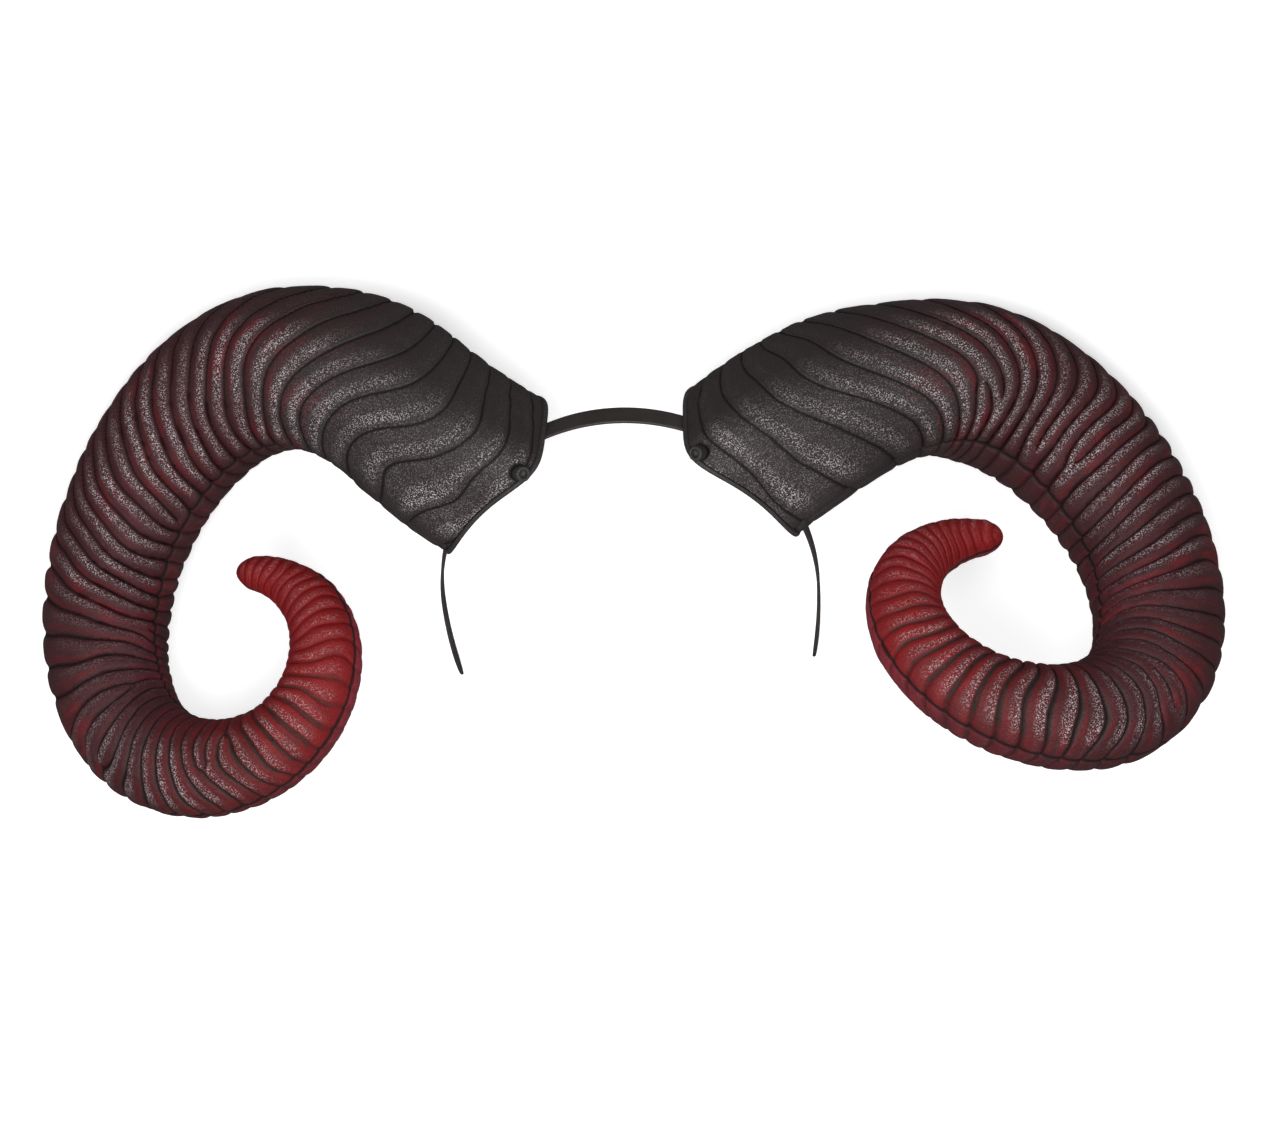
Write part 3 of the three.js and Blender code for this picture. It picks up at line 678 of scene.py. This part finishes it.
def make_stud(horn, material):
    """Stud: a peg with a rounded end and a dimple in it, a profile turned about its axis."""
    end, out, axis, across = stud_frame(horn)
    bend = np.linspace(0, math.pi / 2, 6)
    lip = STUD_EDGE / 2
    profile = np.concatenate([
        [(POLE_RADIUS, -STUD_LENGTH), (STUD_RADIUS - STUD_BACK_EDGE, -STUD_LENGTH)],
        [(STUD_RADIUS, STUD_BACK_EDGE - STUD_LENGTH), (STUD_RADIUS, -STUD_LENGTH / 2)],
        np.stack([STUD_RADIUS - STUD_EDGE * (1 - np.cos(bend)), -STUD_EDGE * (1 - np.sin(bend))], 1),
        np.stack([STUD_DIMPLE_RADIUS + lip * (1 - np.sin(bend)), -lip * (1 - np.cos(bend))], 1),
        [(STUD_DIMPLE_FLOOR_RADIUS, -STUD_DIMPLE_DEPTH), (POLE_RADIUS, -STUD_DIMPLE_DEPTH)],
    ])
    radius, height = profile.T[..., None]
    turn = np.linspace(0, 2 * math.pi, STUD_COLUMNS, endpoint=False)
    middle = end + out * (FIT_GAP + STUD_RADIUS)
    points = (middle + (axis * height)[:, None]
              + across * (radius * np.cos(turn))[..., None]
              + out * (radius * np.sin(turn))[..., None])
    piece = make_piece(f"stud_{horn['side']}", lay_down(mirrored(horn, points)), material)
    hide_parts(f"corner_stud_{horn['side']}")


def paint(shown):
    """Colour given as it shows on a screen, from 0 to 255, for a shader that wants linear light."""
    shown = np.array(shown) / 255
    return (*np.where(shown <= 0.04045, shown / 12.92, ((shown + 0.055) / 1.055) ** 2.4).tolist(), 1)


def add(tree, kind, inputs=None, **settings):
    """New node with its settings, and with each named input linked to a socket or set to a value."""
    made = tree.nodes.new(kind)
    for name, value in settings.items():
        setattr(made, name, value)
    for name, value in (inputs or {}).items():
        if isinstance(value, bpy.types.NodeSocket):
            tree.links.new(value, made.inputs[name])
        else:
            made.inputs[name].default_value = value
    return made


def between(tree, value, low, high, start=0.0, end=1.0):
    """Smooth mask: start where the value is at or under low, end where it is at or over high."""
    return add(tree, "ShaderNodeMapRange", {
        "Value": value, "From Min": low, "From Max": high, "To Min": start, "To Max": end,
    }, interpolation_type="SMOOTHSTEP").outputs["Result"]


def calculate(tree, operation, first, second=0.0, third=0.0):
    return add(tree, "ShaderNodeMath", {0: first, 1: second, 2: third}, operation=operation).outputs[0]


def product(tree, first, *others):
    """Product of masks."""
    for other in others:
        first = calculate(tree, "MULTIPLY", first, other)
    return first


def own(tree, name, output="Fac"):
    """Attribute of the piece itself."""
    return add(tree, "ShaderNodeAttribute", attribute_name=name).outputs[output]


def blend(tree, share, below, above):
    """Colour that goes from one to the other as the share goes from 0 to 1."""
    node = add(tree, "ShaderNodeMix", data_type="RGBA")
    for socket, value in ((0, share), (6, below), (7, above)):
        if isinstance(value, bpy.types.NodeSocket):
            tree.links.new(value, node.inputs[socket])
        else:
            node.inputs[socket].default_value = value
    return node.outputs[2]


def noise(tree, vector, scale, detail=2.0, roughness=0.5):
    return add(tree, "ShaderNodeTexNoise", {
        "Vector": vector, "Scale": scale, "Detail": detail, "Roughness": roughness,
    }).outputs["Fac"]


def new_group(name, inputs, outputs):
    tree = bpy.data.node_groups.new(name, "ShaderNodeTree")
    for title, value in inputs:
        socket = tree.interface.new_socket(name=title, in_out="INPUT", socket_type="NodeSocketFloat")
        socket.default_value = value
    for title in outputs:
        tree.interface.new_socket(name=title, in_out="OUTPUT", socket_type="NodeSocketFloat")
    return tree, tree.nodes.new("NodeGroupInput"), tree.nodes.new("NodeGroupOutput")


def make_grain():
    """Skin of moulded foam: fine grains with a coarser unevenness. Size is the grain's in millimetres.
    Height is for a bump, Grain is the fine pattern by itself and Patch a slow one, all from 0 to 1."""
    inputs, outputs = [("Size", 1.0), ("Coarse", 0.5)], ["Height", "Grain", "Patch"]
    tree, given, result = new_group("foam_grain", inputs, outputs)
    place = add(tree, "ShaderNodeTexCoord").outputs["Object"]
    scale = calculate(tree, "DIVIDE", 1000.0, given.outputs["Size"])
    fine = noise(tree, place, scale, 2.0, 0.6)
    coarse = noise(tree, place, calculate(tree, "DIVIDE", scale, 5.0), 2.0)
    patch = noise(tree, place, calculate(tree, "DIVIDE", scale, 26.0), 2.0)
    height = calculate(tree, "MULTIPLY_ADD", coarse, given.outputs["Coarse"], fine)
    for title, value in (("Height", height), ("Grain", fine), ("Patch", patch)):
        tree.links.new(value, result.inputs[title])
    return tree


def new_finish(name):
    material = bpy.data.materials.new(name)
    material.use_nodes = True
    tree = material.node_tree
    tree.nodes.clear()
    shader = add(tree, "ShaderNodeBsdfPrincipled")
    output = add(tree, "ShaderNodeOutputMaterial")
    tree.links.new(shader.outputs["BSDF"], output.inputs["Surface"])
    return material, tree, shader


def grain_node(tree, group, size, coarse):
    node = add(tree, "ShaderNodeGroup", node_tree=group)
    node.inputs["Size"].default_value = size
    node.inputs["Coarse"].default_value = coarse
    return node.outputs


def bump(tree, shader, height, strength, distance):
    made = add(tree, "ShaderNodeBump", {"Height": height, "Strength": strength, "Distance": distance * MM})
    tree.links.new(made.outputs["Normal"], shader.inputs["Normal"])


def horn_finish(name, group, red, deep_red, gloss, crease_shade_share):
    """Painted foam of a horn: charcoal at the foot, maroon brown along the curl, and red on the last third.
    The ribs are brushed with darker red, most on their side towards the tip, and the front half's carry
    silver grey specks, most on their side towards the foot: partly rubbed paint, partly painted highlight
    glints. The creases between them and the seams are painted nearly black as painted shade.
    within goes from 0 to 1 across a rib, from foot to tip."""
    material, tree, shader = new_finish(name)
    along, seam = own(tree, "along"), own(tree, "seam")
    skin = own(tree, "skin", "Vector")
    wave = add(tree, "ShaderNodeSeparateXYZ", {"Vector": own(tree, "wave", "Vector")}).outputs
    wear_and_glint = wave["Z"]
    turn = calculate(tree, "ARCTAN2", wave["Y"], wave["X"])
    within = calculate(tree, "FRACT", calculate(tree, "DIVIDE", turn, 2 * math.pi))
    to_crest = calculate(tree, "ABSOLUTE", calculate(tree, "SUBTRACT", within, 0.5))
    from_crease = calculate(tree, "SUBTRACT", 0.5, to_crest)
    rib_width = calculate(tree, "MULTIPLY_ADD", along, -8.0, 11.0)
    crease_mm = product(tree, from_crease, rib_width)
    grain = grain_node(tree, group, 0.5, 0.6)

    # Slow patches, streaks along the ribs, and the length with a ragged edge for where the colours change
    patches = noise(tree, skin, 0.035, 2.0)
    streak_place = add(tree, "ShaderNodeMapping", {"Vector": skin, "Scale": (0.42, 0.07, 1)})
    streaks = noise(tree, streak_place.outputs["Vector"], 1.0, 3.0, 0.6)
    ragged = calculate(tree, "MULTIPLY_ADD", calculate(tree, "SUBTRACT", streaks, 0.5), 0.22, along)

    # Ground colours
    color = blend(tree, between(tree, ragged, 0.10, 0.30), paint(CHARCOAL), paint(MAROON))
    color = blend(tree, between(tree, ragged, 0.64, 0.78), color, paint(deep_red))
    color = blend(tree, between(tree, ragged, 0.74, 0.86), color, paint(red))

    # Brushed red: the tip's side of each rib, and whole ribs in some patches
    on_curl = product(tree, between(tree, along, 0.10, 0.26), between(tree, along, 0.62, 0.80, 1, 0.3))
    flank = between(tree, within, 0.45, 0.72)
    flank = calculate(tree, "MAXIMUM", flank, between(tree, patches, 0.52, 0.64, 0, 0.9))
    uneven = product(tree, between(tree, streaks, 0.40, 0.62), between(tree, patches, 0.38, 0.60))
    brushed = product(tree, uneven, product(tree, flank, on_curl))
    color = blend(tree, product(tree, brushed, 0.7), color, paint(BRUSHED_RED))

    # Silver specks, partly rubbed paint and partly painted highlight glints: fewer on the lower part of the
    # curl and on the tip
    on_ribs = product(tree, between(tree, within, 0.08, 0.24), between(tree, within, 0.36, 0.70, 1, 0))
    on_ribs = calculate(tree, "MAXIMUM", on_ribs, between(tree, along, 0.08, 0.24, 0.3, 0))
    sparse = product(tree, between(tree, along, 0.46, 0.53), between(tree, along, 0.58, 0.66, 1, 0))
    rubbed_and_lit = product(
        tree, on_ribs, between(tree, patches, 0.36, 0.62, 0.5, 1), wear_and_glint,
        calculate(tree, "MULTIPLY_ADD", sparse, -0.8, 1.0), between(tree, along, 0.76, 0.90, 1, 0.35))
    specks = product(tree, rubbed_and_lit, between(tree, grain["Grain"], 0.515, 0.64))
    color = blend(tree, product(tree, specks, 0.9), color, paint(RUBBED_SILVER_AND_GLINT))

    # Dark strokes along the creases, where the colour turns to red
    at_change = product(tree, between(tree, along, 0.60, 0.70), between(tree, along, 0.80, 0.90, 1, 0))
    strokes = product(tree, at_change, between(tree, wear_and_glint, 0.06, 0.5, 0.25, 1))
    width = calculate(tree, "MULTIPLY_ADD", between(tree, streaks, 0.35, 0.65), 0.15, 0.05)
    stroke = between(tree, calculate(tree, "DIVIDE", from_crease, width), 0.6, 1.2, 1, 0)
    color = blend(tree, product(tree, strokes, stroke, 0.8), color, paint(DARK_STROKE))

    # Painted shade: the creases and the seams darkened to nearly black
    crease = between(tree, crease_mm, 0.1, 0.62, 1, 0)
    crease = product(tree, crease, between(tree, along, 0.64, 0.90, crease_shade_share, 0.08))
    past_foot = between(tree, along, 0.06, 0.2, 0.2, 1)
    seam_shade = product(tree, between(tree, seam, 0.2, 0.9, 0.9, 0), past_foot)
    crease = calculate(tree, "MAXIMUM", crease, seam_shade)
    color = blend(tree, crease, color, paint(CREASE_SHADE_BLACK))
    tree.links.new(color, shader.inputs["Base Color"])

    rough = calculate(tree, "MULTIPLY_ADD", specks, -0.15, gloss)
    rough = calculate(tree, "MULTIPLY_ADD", crease, 0.3, rough)
    tree.links.new(rough, shader.inputs["Roughness"])
    shader.inputs["Specular IOR Level"].default_value = 0.22
    height = calculate(tree, "MULTIPLY_ADD", between(tree, crease_mm, 0.0, 0.9), 0.8, grain["Height"])
    bump(tree, shader, height, 1.0, 0.4)
    return material


def foam_finish(name, group):
    """Bare dark foam: matt, with fine pores."""
    material, tree, shader = new_finish(name)
    grain = grain_node(tree, group, 0.7, 0.3)
    color = blend(tree, between(tree, grain["Patch"], 0.3, 0.7), paint(FOAM_DARK), paint(FOAM_LIGHT))
    color = blend(tree, between(tree, grain["Grain"], 0.52, 0.68, 0, 0.35), color, paint(FOAM_PORE))
    tree.links.new(color, shader.inputs["Base Color"])
    tree.links.new(between(tree, grain["Grain"], 0.3, 0.7, 0.75, 0.55), shader.inputs["Roughness"])
    bump(tree, shader, grain["Height"], 0.6, 0.25)
    return material


def band_finish():
    """Satin dark plastic: slightly uneven, with faint fine scuffs."""
    material, tree, shader = new_finish("satin_band")
    place = add(tree, "ShaderNodeTexCoord").outputs["Object"]
    cloud = noise(tree, place, 60, 2.0)
    fine = noise(tree, place, 900, 2.0)
    color = blend(tree, between(tree, cloud, 0.3, 0.7), paint(BAND_DARK), paint(BAND_LIGHT))
    tree.links.new(color, shader.inputs["Base Color"])
    tree.links.new(between(tree, fine, 0.3, 0.7, 0.38, 0.5), shader.inputs["Roughness"])
    shader.inputs["Specular IOR Level"].default_value = 0.3
    bump(tree, shader, fine, 0.15, 0.05)
    return material


def make_floor():
    """Plain pale floor, wide enough for every view, a little lower than the solids because the ribs reach
    lower. It isn't seen in reflections, which would wash out the dark sides of the horns."""
    reach = 3.0
    level = -0.0004
    signs = ((-1, -1), (1, -1), (1, 1), (-1, 1))
    mesh = bpy.data.meshes.new("floor")
    mesh.from_pydata([(x * reach, y * reach, level) for x, y in signs], [], [(0, 1, 2, 3)])
    floor = bpy.data.objects.new("floor", mesh)
    bpy.context.collection.objects.link(floor)
    material, tree, shader = new_finish("pale_floor")
    shader.inputs["Base Color"].default_value = (0.93, 0.93, 0.93, 1)
    shader.inputs["Roughness"].default_value = 0.9
    shader.inputs["Emission Color"].default_value = (1, 1, 1, 1)
    shader.inputs["Emission Strength"].default_value = 0.35
    mesh.materials.append(material)
    floor.visible_glossy = False


def make_lights():
    """Plain soft studio light: a dim white surround and wide soft boxes, turned to the middle of the part.
    size is in metres and power in watts."""
    world = bpy.data.worlds.new("studio")
    bpy.context.scene.world = world
    world.use_nodes = True
    background = world.node_tree.nodes["Background"]
    background.inputs["Color"].default_value = (1, 1, 1, 1)
    background.inputs["Strength"].default_value = 0.10
    middle = Vector((0, 0, 0.05))
    boxes = [
        {"name": "box_left", "place": (-0.95, 0.15, 0.75), "size": 0.35, "power": 2.5},
        {"name": "box_right", "place": (0.95, 0.25, 0.75), "size": 0.35, "power": 2.5},
        {"name": "box_front", "place": (0.05, -1.0, 0.95), "size": 0.6, "power": 4.0},
        {"name": "box_above", "place": (0.0, -0.05, 1.15), "size": 0.5, "power": 12.0},
    ]
    for box in boxes:
        light = bpy.data.lights.new(box["name"], "AREA")
        light.shape = "SQUARE"
        light.size = box["size"]
        light.energy = box["power"]
        lamp = bpy.data.objects.new(box["name"], light)
        bpy.context.collection.objects.link(lamp)
        lamp.location = box["place"]
        lamp.rotation_euler = (middle - lamp.location).to_track_quat("-Z", "Y").to_euler()


def make_camera():
    """Camera of the photograph. Its right, up and back are given in the frame of the wearer, then laid down
    with the headband."""
    tilt, roll = math.radians(VIEW_TILT), math.radians(VIEW_ROLL)
    right = (math.cos(roll), 0, -math.sin(roll))
    up = (math.sin(roll) * math.cos(tilt), math.sin(tilt), math.cos(roll) * math.cos(tilt))
    back = (math.sin(roll) * math.sin(tilt), -math.cos(tilt), math.cos(roll) * math.sin(tilt))
    axes = np.array([lying_turn() @ np.array(axis) for axis in (right, up, back)])
    target = lay_down(np.array(VIEW_TARGET))
    data = bpy.data.cameras.new("camera")
    data.sensor_width = SENSOR_WIDTH
    data.lens = SENSOR_WIDTH * VIEW_DISTANCE / VIEW_WIDTH
    camera = bpy.data.objects.new("camera", data)
    bpy.context.collection.objects.link(camera)
    place = target + axes[2] * VIEW_DISTANCE * MM
    camera.matrix_world = Matrix.Translation(Vector(place)) @ Matrix(axes.T.tolist()).to_4x4()
    bpy.context.scene.camera = camera


make_camera()
make_lights()
make_floor()
foam_grain = make_grain()
front_paint = horn_finish(
    "painted_front_shell", foam_grain, FRONT_RED, FRONT_DEEP_RED, gloss=0.42, crease_shade_share=0.95)
back_paint = horn_finish(
    "painted_back_shell", foam_grain, BACK_RED, BACK_DEEP_RED, gloss=0.46, crease_shade_share=0.5)
plate_foam = foam_finish("bare_foam", foam_grain)
make_band()
for each in HORNS:
    make_horn_half(each, "front", front_paint)
    make_horn_half(each, "back", back_paint)
    make_plate(each, plate_foam)
    make_sleeve(each, plate_foam)
    make_stud(each, plate_foam)

bpy.context.scene.view_settings.view_transform = "Standard"
